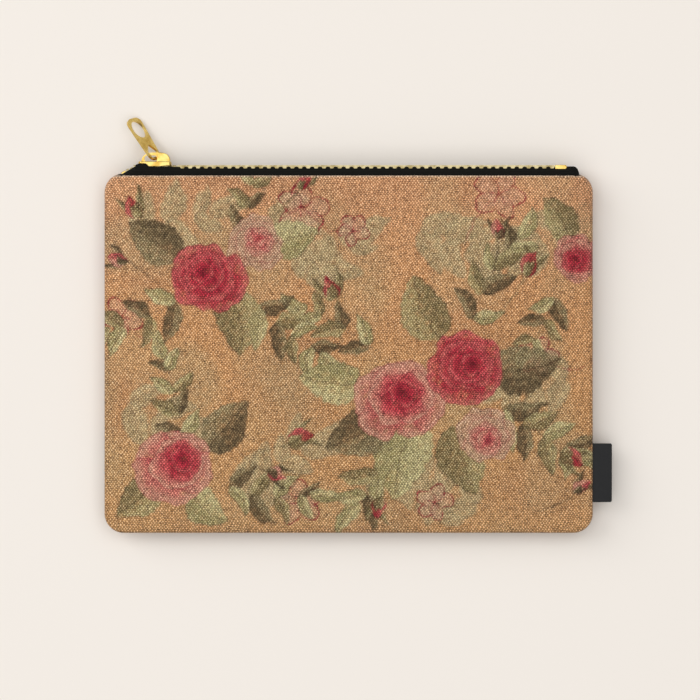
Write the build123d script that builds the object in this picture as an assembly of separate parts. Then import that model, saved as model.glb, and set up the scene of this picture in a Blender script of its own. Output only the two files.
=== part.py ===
"""Zip pouch: a lined cloth pouch with a metal zip, lying on its back.

Millimetres. +Z is up from the table, +Y runs from the bottom seam to the mouth, +X from the
slider's end of the zip to its bottom stop. The origin is the middle of the flat underside.
"""

import os
from math import atan2, cos, degrees, hypot, radians, sin

from build123d import *

# Cloth body
body_width = 216.0
body_height = 159.0
bottom_corner_radius = 8.6
top_corner_radius = 7.0
seam_height = 8.5
front_rise = 10.5
back_rise = 10.0
mouth_rise = 8.2
seam_rim = 1.3
cloth = 0.9
seam_inset = 2.2
mid_shoulder = 88.0
mouth_shoulder = 14.0
bottom_shoulder = 62.0
mouth_blend = 70.0
swell_power = 2.5
grid_rows = 41
grid_columns = 61

# Lining
lining = 0.5
lining_gap = 0.3
lining_mouth_drop = 3.0

# Zip tapes
tape = 0.5
tape_gap = 0.2
tape_tuck = 11.0
bead_radius = 0.55
tape_run_out = 5.7
tape_bend = 0.2
tape_left_end = 101.5
tape_right_end = 101.9
end_slope_length = 7.0
end_slope_right = 4.9
end_drop = 4.1
right_drop_share = 0.8
end_top = 5.2
bead_angles = (35, 75, 120, 180, 240, 285, 325)

# Chain of teeth
chain_stand_out = 2.4
tooth_pitch = 3.47
tooth_length = 1.4
tooth_depth = 2.3
tooth_head = 0.85
tooth_reach = 2.75
tooth_corner = 0.3
tooth_nib = 0.3
nib_width = 0.9
nib_height = 0.6
nib_room = 0.15
tooth_fit = 0.18
bead_play = 0.35
bead_seat = 1.55
parting = 1.6
parted_length = 2.4
parting_length = 6.2
end_parting = 0.9
open_teeth = 1

# Stops
bottom_stop_length = 5.2
bottom_stop_start = 91.0
stop_half_width = 3.1
top_stop_length = 1.8
stop_gap = 0.4

# Slider
slider_length = 14.4
slider_start = -92.8
slider_play = 0.3
plate_thick = 1.35
inner_plate_thick = 1.3
flange_wall = 0.75
flange_slot = 1.2
diamond_half_width = 0.5
diamond_front = 1.2
diamond_length = 3.0
diamond_tip = 0.1
diamond_inset = 0.9
bridge_width = 1.1
bridge_rise = 4.1
bridge_bar = 1.35
bridge_inset = 1.2
bridge_end_inset = 0.6
bridge_foot = 1.3
bridge_window = 5.6
bridge_slit = 0.2
bridge_crown_width = 2.2
crown_round = 0.4
slider_end_play = 0.5
slider_front_round = 1.6
slider_rear_round = 1.2
edge_round = 0.4

# Pull tab
pull_length = 21.5
pull_thick = 1.6
pull_eye_thick = 1.0
pull_wide = 7.7
pull_eye_width = 5.5
pull_eye_hole = 4.5
pull_eye_depth = 6.2
pull_eye_tip = 1.7
pull_end_bar = 1.3
pull_hole_length = 8.6
pull_hole_width = 5.4
pull_hole_margin = 1.7
pull_lean = 27.0
pull_droop = 12.5
pull_twist = 36.0
hinge_rise = 1.45
hinge_place = 4.2

# Side label
label_length = 26.0
label_stand_out = 8.5
label_layer = 0.4
label_middle = -52.9
label_tuck = 1.9
label_fit = 0.05
label_gap = 0.1

# Places worked out from the sizes above
half_width = body_width / 2
half_height = body_height / 2
chain_y = half_height + chain_stand_out
chain_z = seam_height
slope_start_left = -tape_left_end + end_slope_length
slope_start_right = tape_right_end - end_slope_right
part_full = slider_start + parted_length
part_none = part_full + parting_length
chain_start = bottom_stop_start - tooth_length
plate_face = chain_y + tooth_depth / 2 + slider_play + plate_thick
bridge_start = slider_start + bridge_inset
window_start = bridge_start + bridge_foot
hinge_x = window_start + hinge_place


def swell(depth, shoulder):
    """Share of the full rise at a depth inside an edge: 0 at the edge, 1 past the shoulder."""
    if depth >= shoulder:
        return 1.0
    if depth <= 0:
        return swell_power * depth / shoulder
    return 1 - (1 - depth / shoulder) ** swell_power


def smooth(share):
    """A share from 0 to 1, eased at both ends."""
    share = min(max(share, 0.0), 1.0)
    return share * share * (3 - 2 * share)


def cloth_height(x, y, rise):
    """Height of the cloth's outer face over the seam plane."""
    from_mouth = half_height - y
    middle = mouth_rise + (rise - mouth_rise) * smooth(from_mouth / mouth_blend)
    shoulder = mouth_shoulder + (mid_shoulder - mouth_shoulder) * smooth(from_mouth / mouth_blend)
    sides = swell(half_width - abs(x), shoulder)
    bottom = swell(y + half_height, bottom_shoulder)
    share = sides * bottom if bottom > 0 and sides > 0 else min(sides, bottom)
    return seam_rim + (middle - seam_rim) * share


def layer_height(x, y, rise, depth, mouth_drop):
    """Height of a face that lies a depth inside the cloth's outer face."""
    step = 0.5
    slope_x = (cloth_height(x + step, y, rise) - cloth_height(x - step, y, rise)) / (2 * step)
    slope_y = (cloth_height(x, y + step, rise) - cloth_height(x, y - step, rise)) / (2 * step)
    steep = min(hypot(1, slope_x, slope_y), 2.0)
    drop = mouth_drop * smooth((y - half_height + tape_tuck + 6) / 5)
    return cloth_height(x, y, rise) - depth * steep - drop


def spaced(low, high, count):
    """Evenly spaced values from low to high."""
    return [low + (high - low) * index / (count - 1) for index in range(count)]


def column(up, rise, depth=0.0, mouth_drop=0.0):
    """Everything between the seam plane and one face of the cloth, flat where the pouch rests."""
    rows = []
    for y in spaced(-half_height - 2, half_height + 8, grid_rows):
        row = []
        for x in spaced(-half_width - 2, half_width + 2, grid_columns):
            height = layer_height(x, y, rise, depth, mouth_drop)
            if up < 0 and depth > 0:
                height = min(height, seam_height - depth)
            row.append((x, y, seam_height + up * height))
        rows.append(row)
    face = Face.make_surface_from_array_of_points(rows, tol=0.02)
    behind = extrude(face, 60, dir=(0, 0, -up))
    return behind & (slab(seam_height, seam_height + 40) if up > 0 else slab(0, seam_height))


def plan(inset, reach):
    """The pouch seen from above as a tall prism, with its mouth edge at reach."""
    wide = body_width - 2 * inset
    low = -half_height + inset
    box = Pos(0, (low + reach) / 2) * Rectangle(wide, reach - low)
    low_corners = [v for v in box.vertices() if v.Y < 0]
    rounded = fillet(low_corners, max(bottom_corner_radius - inset, 2.0))
    high_corners = [v for v in rounded.vertices() if v.Y > reach - 0.01]
    rounded = fillet(high_corners, max(top_corner_radius - inset, 2.0))
    return extrude(Pos(0, 0, -5) * rounded, 60)


def slab(low, high):
    """Everything between two heights over the table."""
    return Pos(0, 0, (low + high) / 2) * Box(2 * body_width, 2 * body_height, high - low)


def label_pocket():
    """Room that the label's tucked end takes between the two panels."""
    reach = label_tuck + label_stand_out + label_fit
    thick = 2 * label_layer + 2 * label_fit
    wide = label_length + 2 * label_fit
    middle = half_width - label_tuck - label_fit + reach / 2
    return Pos(middle, label_middle, seam_height) * Box(reach, wide, thick)


def mouth_passage():
    """The clear way of the mouth, narrower than the body by the closed corners."""
    wide = 2 * (tape_right_end + 1.0)
    return Pos(0, half_height, seam_height) * Box(wide, 40, 60)


def shell(up, rise, outer_side, outer_depth, side, depth, reach, mouth_drop=0.0):
    """A cloth layer of half the pouch: an outer form less an inner one."""
    outer = column(up, rise, outer_depth, mouth_drop) & plan(outer_side, reach)
    open_mouth = plan(side, half_height - side) + mouth_passage()
    return outer - (column(up, rise, depth, mouth_drop) & open_mouth)


def panel(up, rise):
    """One outer cloth panel with the label's pocket in its rim."""
    layer = shell(up, rise, 0.0, 0.0, seam_inset, cloth, half_height)
    return layer - label_pocket()


def lining_side(up, rise):
    """One side of the lining, inside the panel and short of the mouth."""
    outside = cloth + lining_gap
    side = seam_inset + lining_gap
    drop = tape + 3 * tape_gap - lining_gap
    reach = half_height - lining_mouth_drop
    return shell(up, rise, side, outside, side + lining, outside + lining, reach, drop)


def ribbon(points, thick):
    """Points on both sides of a bent line, half a thickness away."""
    left, right = [], []
    for index, (a, b) in enumerate(points):
        before = points[max(index - 1, 0)]
        after = points[min(index + 1, len(points) - 1)]
        one = (a - before[0], b - before[1]) if index else (after[0] - a, after[1] - b)
        two = (after[0] - a, after[1] - b) if index < len(points) - 1 else one
        one = (one[0] / hypot(*one), one[1] / hypot(*one))
        two = (two[0] / hypot(*two), two[1] / hypot(*two))
        mean = (one[0] + two[0], one[1] + two[1])
        size = hypot(*mean)
        mean = (mean[0] / size, mean[1] / size)
        reach = thick / 2 / (mean[0] * one[0] + mean[1] * one[1])
        left.append((a - mean[1] * reach, b + mean[0] * reach))
        right.append((a + mean[1] * reach, b - mean[0] * reach))
    return left, right


def tape_section(x, part, crest, limit, rise, up):
    """Section of a tape across the chain: beaded edge, upright run, bend and tuck."""
    depth = cloth + tape_gap + tape / 2
    bead = bead_seat + part
    edge_y = half_height - tape_bend + (crest - chain_y) * 0.4
    tuck_y = half_height - tape_tuck
    edge = min(layer_height(x, edge_y, rise, depth, 0), limit)
    tuck = min(layer_height(x, tuck_y, rise, depth, 0), seam_height - depth)
    run = min(tape_run_out, edge - 1.0)
    left, right = ribbon([(crest, bead), (crest, run), (edge_y, edge), (tuck_y, tuck)], tape)
    bead_points = []
    for angle in bead_angles:
        turn = radians(angle)
        bead_points.append((crest + bead_radius * sin(turn), bead + bead_radius * cos(turn)))
    outline = bead_points + left[1:] + right[:0:-1]
    corners = [(x, y, chain_z + up * z) for y, z in outline]
    return make_face(Polyline(*corners, close=True))


def tape_stations():
    """Places along the zip, from the left: parting, crest and highest reach of the tape."""
    full = mouth_rise
    left_mid = (slope_start_left - tape_left_end) / 2
    right_mid = (slope_start_right + tape_right_end) / 2
    full_right = bottom_stop_start - 2
    right_drop = end_drop * right_drop_share
    return [
        (-tape_left_end, end_parting, chain_y - end_drop, end_top),
        (left_mid, (parting + end_parting) / 2, chain_y - end_drop / 2, full),
        (slope_start_left, parting, chain_y, full),
        (part_full, parting, chain_y, full),
        (part_none, 0.0, chain_y, full),
        (full_right, 0.0, chain_y, full),
        ((full_right + slope_start_right) / 2, 0.0, chain_y, full),
        (slope_start_right, 0.0, chain_y, full),
        (right_mid, 0.0, chain_y - right_drop / 2, full),
        (tape_right_end, 0.0, chain_y - right_drop, end_top),
    ]


def zipper_tape(up, rise):
    """One tape, straight under the slider's travel and turned down at both ends."""
    sections = []
    for x, part, crest, limit in tape_stations():
        sections.append(tape_section(x, part, crest, limit, rise, up))
    return loft(sections, ruled=True)


def chain_state(distance):
    """Place, crest, parting and turn of the chain at a distance from its closed end."""
    x = chain_start - distance
    slope = atan2(end_drop, end_slope_length)
    if x < slope_start_left:
        x = slope_start_left - (slope_start_left - x) * cos(slope)
    stations = tape_stations()
    for (x0, part0, crest0, _), (x1, part1, crest1, _) in zip(stations, stations[1:]):
        if x0 <= x <= x1:
            share = (x - x0) / (x1 - x0)
            turn = atan2(crest1 - crest0, x1 - x0)
            return x, crest0 + (crest1 - crest0) * share, part0 + (part1 - part0) * share, degrees(turn)
    return x, stations[0][2], stations[0][1], degrees(slope)


def clamp(length, low, high, corner):
    """A block that grips the tape's bead between two legs, from low to high over the chain's middle."""
    half = tooth_depth / 2
    outline = Polyline(
        (-half, low),
        (half, low),
        (half, high - corner),
        (half - corner, high),
        (-half + corner, high),
        (-half, high - corner),
        close=True,
    )
    body = extrude(Plane.YZ * make_face(outline), length / 2, both=True)
    body -= Pos(0, 0, bead_seat + high) * Box(2 * length, tape + 2 * tooth_fit, 2 * high)
    across = 2 * bead_radius + 2 * tooth_fit
    return body - Pos(0, 0, bead_seat) * Box(2 * length, across, across + bead_play)


def point(x, depth, wide, tall):
    """A small pyramid on a plane across X."""
    return loft([Plane.YZ.offset(x) * Rectangle(wide, tall), Vertex(x + depth, 0, 0)])


def tooth(up):
    """One tooth: legs round the bead, and a head with a nib on one side and a dimple on the other."""
    body = clamp(tooth_length, -tooth_head, tooth_reach, tooth_corner)
    body += point(tooth_length / 2, tooth_nib, nib_width, nib_height)
    wide, tall = nib_width + 2 * nib_room, nib_height + 2 * nib_room
    body -= point(-tooth_length / 2, tooth_nib, wide, tall)
    return body if up > 0 else mirror(body, Plane.XY)


def place_on_chain(distance, up, piece):
    """A piece set on one tape at a distance along the chain."""
    x, crest, part, turn = chain_state(distance)
    return Pos(x, crest, chain_z + up * part) * Rot(0, 0, turn) * piece


def row_start(up):
    """The back row stands half a pitch further along than the front one."""
    return 0.0 if up > 0 else tooth_pitch / 2


def tooth_count(up):
    """Teeth of one row, the open ones on the end slope included."""
    straight = chain_start - slope_start_left - row_start(up)
    return int(straight / tooth_pitch) + 1 + open_teeth


def teeth(up):
    """All the teeth of one tape."""
    one = tooth(up)
    places = [row_start(up) + index * tooth_pitch for index in range(tooth_count(up))]
    return Compound(children=[place_on_chain(place, up, one) for place in places])


def top_stop(up):
    """The clamp above the last tooth that keeps the slider on its tape."""
    last = max(row_start(side) + (tooth_count(side) - 1) * tooth_pitch for side in (1, -1))
    place = last + tooth_length / 2 + stop_gap + top_stop_length / 2
    piece = clamp(top_stop_length, bead_seat - bead_radius - 0.5, tooth_reach, tooth_corner)
    piece = piece if up > 0 else mirror(piece, Plane.XY)
    return place_on_chain(place, up, piece)


def bottom_stop():
    """One clamp over both beads at the closed end of the chain."""
    half = clamp(bottom_stop_length, 0, stop_half_width, tooth_corner)
    whole = half + mirror(half, Plane.XY)
    return Pos(bottom_stop_start + bottom_stop_length / 2, chain_y, chain_z) * whole


def slider_wall(extra, stretch=0.0):
    """Outline of the slider's channel in plan, wider by extra and longer by stretch."""
    narrow = tooth_reach + slider_play + extra
    wide = narrow + parting
    side = [
        (slider_start - stretch, wide),
        (part_full, wide),
        (part_none, narrow),
        (slider_start + slider_length + stretch, narrow),
    ]
    points = side + [(x, -z) for x, z in side[::-1]]
    return make_face(Polyline(*points, close=True))


def prism(face, low, high):
    """A plan outline made solid between two heights out from the mouth."""
    plane = Plane.XZ.offset(-high)
    return Pos(0, 0, chain_z) * extrude(plane * face, high - low)


def bridge():
    """The arch that the pull tab hangs on, with a heavier crown at its closed end."""
    low = plate_face - 0.2
    start = bridge_start
    end = slider_start + slider_length - bridge_end_inset
    crest = plate_face + bridge_rise
    back = Spline(
        (start, plate_face),
        (start + 0.5, plate_face + 0.52 * bridge_rise),
        (start + 2.8, crest - 0.35),
        (start + 6.2, crest),
        (end - 1.3, crest - 0.8),
        (end, plate_face + 0.3 * bridge_rise),
    )
    foot = Polyline((end, plate_face + 0.3 * bridge_rise), (end, low), (start, low), (start, plate_face))
    side = make_face([back, foot])
    arch = extrude(side, bridge_width / 2, both=True)
    crown_start = window_start + bridge_window + 0.35
    crown_box = Pos((crown_start + end) / 2, crest) * Rectangle(end - crown_start, 4 * bridge_rise)
    crown = extrude(side & crown_box, bridge_crown_width / 2, both=True)
    high_edges = [e for e in crown.edges() if e.center().Y > plate_face + 0.4 and e.length > 1.5]
    crown = fillet([e for e in high_edges if abs(e.center().Z) > bridge_crown_width / 2 - 0.01], crown_round)
    height = bridge_rise - bridge_bar
    window = Pos(window_start + bridge_window / 2, plate_face + height / 2)
    window *= RectangleRounded(bridge_window, height, height / 2 - 0.15)
    slit = Pos(start, plate_face + bridge_slit / 2) * Rectangle(2 * bridge_foot + 0.6, bridge_slit)
    opening = extrude(window + slit, bridge_width, both=True)
    return Pos(0, 0, chain_z) * (arch + crown - opening)


def slider_body():
    """The cast slider: two plates with flanges, the diamond that parts the teeth, and the bridge."""
    inner_face = chain_y - tooth_depth / 2 - slider_play
    outer_face = chain_y + tooth_depth / 2 + slider_play
    outline = slider_wall(flange_wall)
    corners = sorted(outline.vertices(), key=lambda v: v.X)
    outline = fillet(corners[:2], slider_front_round)
    corners = sorted(outline.vertices(), key=lambda v: v.X)
    outline = fillet(corners[-2:], slider_rear_round)
    body = prism(outline, inner_face - inner_plate_thick, plate_face)
    body = fillet(body.faces().sort_by(Axis.Y)[-1].edges(), edge_round)
    body = fillet(body.faces().sort_by(Axis.Y)[0].edges(), edge_round)
    body -= prism(slider_wall(0.0, 1.0), inner_face, outer_face)
    length, width = 2 * slider_length, 6 * tooth_reach
    slot = Pos(slider_start + slider_length / 2, chain_y, chain_z) * Box(length, flange_slot, width)
    front = slider_start + diamond_inset
    widest = front + diamond_front
    shape = Polyline(
        (front, 0.7 * diamond_half_width),
        (widest, diamond_half_width),
        (front + diamond_length, diamond_tip),
        (front + diamond_length, -diamond_tip),
        (widest, -diamond_half_width),
        (front, -0.7 * diamond_half_width),
        close=True,
    )
    diamond = prism(make_face(shape), inner_face - 0.1, outer_face + 0.1)
    return body - slot + diamond + bridge()


def pull_tab():
    """The flat pull with an eye round the bridge and a long hole near its wide end."""
    eye = pull_eye_width / 2
    wide = pull_wide / 2
    corner = 0.55 * wide
    tip = pull_length - pull_end_bar / 2
    rounds = [
        Pos(eye - pull_end_bar / 2, 0) * Circle(eye),
        Pos(tip - corner, wide - corner) * Circle(corner),
        Pos(tip - corner, corner - wide) * Circle(corner),
    ]
    outline = make_hull([edge for circle in rounds for edge in circle.edges()])
    plate = extrude(Plane.YZ * outline, pull_thick / 2, both=True)
    big = Pos(tip - pull_hole_margin - pull_hole_length / 2, 0)
    plate -= extrude(Plane.YZ * (big * Ellipse(pull_hole_length / 2, pull_hole_width / 2)), 5, both=True)
    round_part = Pos(pull_end_bar / 2 + pull_eye_hole / 2, 0) * Circle(pull_eye_hole / 2)
    square_part = Pos(pull_end_bar / 2 + 0.7, 0) * RectangleRounded(1.4, pull_eye_hole, 0.5)
    narrow = Pos(pull_end_bar / 2 + pull_eye_depth - pull_eye_tip, 0) * Circle(pull_eye_tip)
    tear = make_hull([edge for circle in (round_part, square_part, narrow) for edge in circle.edges()])
    plate -= extrude(Plane.YZ * tear, 5, both=True)
    for side in (1, -1):
        thin = Pos(side * (pull_eye_thick / 2 + 5), -5 + pull_eye_depth, 0) * Box(10, 10, 10)
        plate -= thin
    turn = Rot(0, 0, pull_lean) * Rot(-pull_droop, 0, 0) * Rot(0, -pull_twist, 0)
    return Pos(hinge_x, plate_face + hinge_rise, chain_z) * turn * plate


def side_label():
    """A strip folded double, with both ends caught in the side seam."""
    outer = half_width + label_stand_out
    inner = half_width - label_tuck
    half = label_layer
    gap = label_gap / 2
    folded = Pos((inner + outer) / 2, 0) * Rectangle(outer - inner, 2 * half)
    tip = [v for v in folded.vertices() if v.X > outer - 0.01]
    folded = fillet(tip, half - 0.02)
    opening = Pos((inner + outer) / 2 - half, 0) * Rectangle(outer - inner, 2 * gap)
    strip = extrude(Plane.XZ * (folded - opening), label_length / 2, both=True)
    return Pos(0, label_middle, seam_height) * strip


parts = {
    "front_panel": panel(1, front_rise),
    "back_panel": panel(-1, back_rise),
    "front_lining": lining_side(1, front_rise),
    "back_lining": lining_side(-1, back_rise),
    "front_zipper_tape": zipper_tape(1, front_rise),
    "back_zipper_tape": zipper_tape(-1, back_rise),
    "front_teeth": teeth(1),
    "back_teeth": teeth(-1),
    "front_top_stop": top_stop(1),
    "back_top_stop": top_stop(-1),
    "bottom_stop": bottom_stop(),
    "slider_body": slider_body(),
    "pull_tab": pull_tab(),
    "side_label": side_label(),
}

os.makedirs("parts", exist_ok=True)
for name, shape in parts.items():
    export_step(shape, f"parts/{name}.step")

travel = bottom_stop_start - slider_end_play - slider_start - slider_length
print(f"slider travel {travel:.2f} mm")
print(f"pull hinge {hinge_x:.2f}, {plate_face + hinge_rise:.2f}, {chain_z:.2f} mm")
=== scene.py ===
"""Looks of the zip pouch: printed coarse-weave cloth, black zip tapes, bright metal zip, folded label."""

from __future__ import annotations

import logging
import math
from dataclasses import dataclass, field
from enum import Enum
from typing import Any, Sequence

import bmesh
import bpy
import numpy as np
from mathutils import Matrix, Vector
from mathutils.geometry import tessellate_polygon


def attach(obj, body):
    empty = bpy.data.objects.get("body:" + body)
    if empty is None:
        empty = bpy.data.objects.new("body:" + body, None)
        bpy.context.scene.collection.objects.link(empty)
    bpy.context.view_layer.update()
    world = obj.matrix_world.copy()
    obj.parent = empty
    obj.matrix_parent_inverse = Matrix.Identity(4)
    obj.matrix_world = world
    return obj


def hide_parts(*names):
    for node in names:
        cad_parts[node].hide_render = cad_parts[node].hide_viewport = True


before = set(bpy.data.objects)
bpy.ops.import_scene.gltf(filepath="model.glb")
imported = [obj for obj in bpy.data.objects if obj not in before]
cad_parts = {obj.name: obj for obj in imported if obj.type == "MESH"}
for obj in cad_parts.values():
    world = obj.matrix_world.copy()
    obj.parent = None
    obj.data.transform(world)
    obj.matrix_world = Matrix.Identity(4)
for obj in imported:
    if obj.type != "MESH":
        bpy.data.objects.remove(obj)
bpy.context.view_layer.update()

LOG = logging.getLogger("pouch")
MM = 0.001
SEAM = 8.5  # height in millimetres of the plane where the two halves meet
FULL_TURN = 2 * math.pi
SHARP_EDGE = math.radians(38.0)  # edges that turn by more than this are rounded

Triple = tuple[float, float, float]
Colour = Triple
Place = tuple[float, float]
Face = tuple[int, ...]
Shape = tuple[np.ndarray, list[Face]]


class Side(Enum):
    """The half of the pouch that a piece belongs to."""

    FRONT = 1
    BACK = -1


def linear(red: float, green: float, blue: float) -> Colour:
    """Turn a colour on the 0 to 255 scale into the linear values that shaders take.

    Args:
        red: Red on the screen's scale.
        green: Green on the screen's scale.
        blue: Blue on the screen's scale.

    Returns:
        The colour as three linear values from 0 to 1.
    """

    def one(value: float) -> float:
        share = value / 255.0
        return share / 12.92 if share <= 0.04045 else ((share + 0.055) / 1.055) ** 2.4

    return one(red), one(green), one(blue)


def unit(values: Any) -> Any:
    """Hold values between 0 and 1."""
    return np.clip(values, 0, 1)


def quarter_round(share: Any) -> Any:
    """Height of a quarter round, as a share, at a share of the way in from its edge."""
    return np.sqrt(unit(1 - (1 - unit(share)) ** 2))


def polar(x: float, y: float, distance: float, turn: float) -> Place:
    """The place at a distance from another, in a direction in radians."""
    return x + distance * math.cos(turn), y + distance * math.sin(turn)


def bent(bend: Sequence[Place], t: float) -> Place:
    """The place at a share of the way along a bent line."""
    x, y = ((1 - t) ** 2 * a + 2 * t * (1 - t) * b + t * t * c for a, b, c in zip(*bend))
    return x, y


def crossed_waves(random: Any, x: np.ndarray, y: np.ndarray, pitches: Place, turns: int) -> np.ndarray:
    """Add up a few waves that cross each other.

    Args:
        random: The random source.
        x: Places across in millimetres.
        y: Places along in millimetres.
        pitches: Shortest and longest wave.
        turns: How many waves are added.

    Returns:
        The sum at each place.
    """
    total = np.zeros_like(x)
    for _ in range(turns):
        angle, phase = random.uniform(0, FULL_TURN, 2)
        pitch = random.uniform(*pitches)
        total += np.sin((x * math.cos(angle) + y * math.sin(angle)) * FULL_TURN / pitch + phase)
    return total


class Wire:
    """A shader socket that can be used in a Python expression."""

    def __init__(self, shader: Shader, socket: Any) -> None:
        """Keep the socket and the shader that it belongs to."""
        self.shader = shader
        self.socket = socket

    def _math(self, operation: str, *values: Any) -> Wire:
        """Add one Math node for the values."""
        return self.shader.node("ShaderNodeMath", {"operation": operation}, values)

    def __add__(self, other: Any) -> Wire:
        return self._math("ADD", self, other)

    __radd__ = __add__

    def __sub__(self, other: Any) -> Wire:
        return self._math("SUBTRACT", self, other)

    def __rsub__(self, other: Any) -> Wire:
        return self._math("SUBTRACT", other, self)

    def __mul__(self, other: Any) -> Wire:
        return self._math("MULTIPLY", self, other)

    __rmul__ = __mul__

    def __truediv__(self, other: Any) -> Wire:
        return self._math("DIVIDE", self, other)

    def __rtruediv__(self, other: Any) -> Wire:
        return self._math("DIVIDE", other, self)

    def __neg__(self) -> Wire:
        return self._math("MULTIPLY", self, -1.0)

    def __abs__(self) -> Wire:
        return self._math("ABSOLUTE", self)

    def sine(self) -> Wire:
        """The sine of the value."""
        return self._math("SINE", self)

    def floor(self) -> Wire:
        """The whole part of the value."""
        return self._math("FLOOR", self)

    def most(self, other: Any) -> Wire:
        """The larger of two values."""
        return self._math("MAXIMUM", self, other)

    def span(self, low: float, high: float) -> Wire:
        """Map a range of the value smoothly onto 0 to 1, held at its ends.

        Args:
            low: Value that becomes 0.
            high: Value that becomes 1.

        Returns:
            The mapped value.
        """
        return self.shader.node("ShaderNodeMapRange", {"interpolation_type": "SMOOTHSTEP"}, (self, low, high))


class Shader:
    """The node tree of a material or the world, and the calls that its finish is made with."""

    def __init__(self, owner: Any, surface: str = "Principled BSDF") -> None:
        """Start on a plain node tree.

        Args:
            owner: The material or world.
            surface: The node that the finish is set on.
        """
        owner.use_nodes = True
        self.owner = owner
        self.tree = owner.node_tree
        self.surface = self.tree.nodes[surface]

    def node(self, kind: str, settings: dict[str, Any], values: Any = (), output: Any = 0) -> Wire:
        """Add one node.

        Args:
            kind: The node's type.
            settings: Node properties, or a ramp's stops, set before its sockets.
            values: Values or wires for its sockets, by place or by name.
            output: The output socket to return.

        Returns:
            The chosen output.
        """
        made = self.tree.nodes.new(kind)
        for key, value in settings.items():
            if key == "stops":
                for element, (place, colour) in zip(made.color_ramp.elements, value):
                    element.position, element.color = place, (*colour, 1.0)
            else:
                setattr(made, key, value)
        for key, value in values.items() if isinstance(values, dict) else enumerate(values):
            self.put(made.inputs[key], value)
        return Wire(self, made.outputs[output])

    def put(self, socket: Any, value: Any) -> None:
        """Give a socket a wire or a plain value.

        Args:
            socket: The socket to set.
            value: A wire, number or colour.
        """
        if isinstance(value, Wire):
            self.tree.links.new(value.socket, socket)
        elif isinstance(value, tuple) and socket.type == "RGBA":
            socket.default_value = (*value, 1.0)
        else:
            socket.default_value = value

    def dress(self, **sockets: Any) -> None:
        """Set sockets of the surface by name, with _ for a space.

        Args:
            **sockets: Values or wires for the named sockets.
        """
        for name, value in sockets.items():
            self.put(self.surface.inputs[name.replace("_", " ").title().replace("Ior", "IOR")], value)

    def mix(self, share: Any, first: Any, second: Any, blend: str = "MIX") -> Wire:
        """Mix two colours.

        Args:
            share: Share of the second colour.
            first: First colour.
            second: Second colour.
            blend: The way that they are mixed.

        Returns:
            The mixed colour.
        """
        settings = {"data_type": "RGBA", "blend_type": blend, "clamp_factor": True}
        return self.node("ShaderNodeMix", settings, {0: share, 6: first, 7: second}, 2)

    def split(self, vector: Wire) -> list[Wire]:
        """The three parts of a vector."""
        made = self.node("ShaderNodeSeparateXYZ", {}, (vector,)).socket.node
        return [Wire(self, out) for out in made.outputs]

    def join(self, x: Any, y: Any, z: Any) -> Wire:
        """Join three values into one vector."""
        return self.node("ShaderNodeCombineXYZ", {}, (x, y, z))

    def place(self) -> list[Wire]:
        """The point on the object in millimetres, as three wires."""
        where = self.node("ShaderNodeTexCoord", {}, (), "Object")
        return self.split(self.node("ShaderNodeVectorMath", {"operation": "SCALE"}, {0: where, 3: 1 / MM}))

    def facing(self, slope: float = 0.72, blend: float = 0.001) -> list[Wire]:
        """Whether the surface faces sideways and whether it faces along the cloth, as 0 or 1.

        Args:
            slope: Part of the normal in a direction from which the surface counts as facing it.
            blend: How far to either side of that the answer changes.

        Returns:
            The two answers.
        """
        normal = self.split(self.node("ShaderNodeTexCoord", {}, (), "Normal"))
        return [abs(part).span(slope - blend, slope + blend) for part in normal[:2]]

    def noise(self, where: Wire, scale: float, detail: float = 2.0) -> Wire:
        """Add soft noise.

        Args:
            where: The point that is looked up.
            scale: Noise scale.
            detail: Octaves of detail.

        Returns:
            The noise value.
        """
        return self.node("ShaderNodeTexNoise", {}, {"Vector": where, "Scale": scale, "Detail": detail})

    def speckle(self, where: Wire) -> Wire:
        """A random value for each whole-number point."""
        return self.node("ShaderNodeTexWhiteNoise", {"noise_dimensions": "3D"}, {"Vector": where}, "Value")

    def bump(self, height: Wire, depth: float, strength: float) -> None:
        """Feed a height into the surface normal.

        Args:
            height: Height from 0 to 1.
            depth: Full height in metres.
            strength: Share of the effect.
        """
        values = {"Strength": strength, "Distance": depth, "Height": height}
        self.dress(normal=self.node("ShaderNodeBump", {}, values))


@dataclass(frozen=True)
class PlainWeave:
    """A plain weave of threads that pass over and under each other, pitches in millimetres."""

    across: float
    along: float
    wobble: float = 0.3

    def threads(self, shader: Shader, x: Wire, y: Wire) -> tuple[Wire, Wire, Wire]:
        """Work out the weave at a point.

        Args:
            shader: The material that gets the nodes.
            x: Place across the cloth in millimetres.
            y: Place along the cloth in millimetres.

        Returns:
            Height from 0 to 1, the crossing from -1 to 1, and a random value for each crossing.
        """
        where = shader.join(x, y, 0.0)
        wander = shader.noise(where, 0.12, 3.0) - 0.5
        bend = shader.noise(where, 0.5) - 0.5
        u = x / self.across + wander * (self.wobble * 14.0) + bend * (self.wobble * 3.0)
        v = y / self.along + bend * (self.wobble * 4.0) - wander * (self.wobble * 9.0)
        chance = shader.speckle(shader.join(u.floor(), v.floor(), 1.0))
        su, sv = (u * math.pi).sine(), (v * math.pi).sine()
        cross = su * sv
        return ((abs(su) + cross) * 0.5).most((abs(sv) - cross) * 0.5), cross, chance


class Finish:
    """A finish that makes its own material."""

    def material(self, name: str) -> Any:
        """Make the material.

        Args:
            name: The material's name.

        Returns:
            The Blender material.
        """
        shader = Shader(bpy.data.materials.new(name))
        self.paint(shader, *shader.place())
        return shader.owner

    def paint(self, shader: Shader, x: Wire, y: Wire, z: Wire) -> None:
        """Set up the surface.

        Args:
            shader: The material's shader.
            x: Place across in millimetres.
            y: Place along in millimetres.
            z: Height in millimetres.
        """
        raise NotImplementedError


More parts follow.
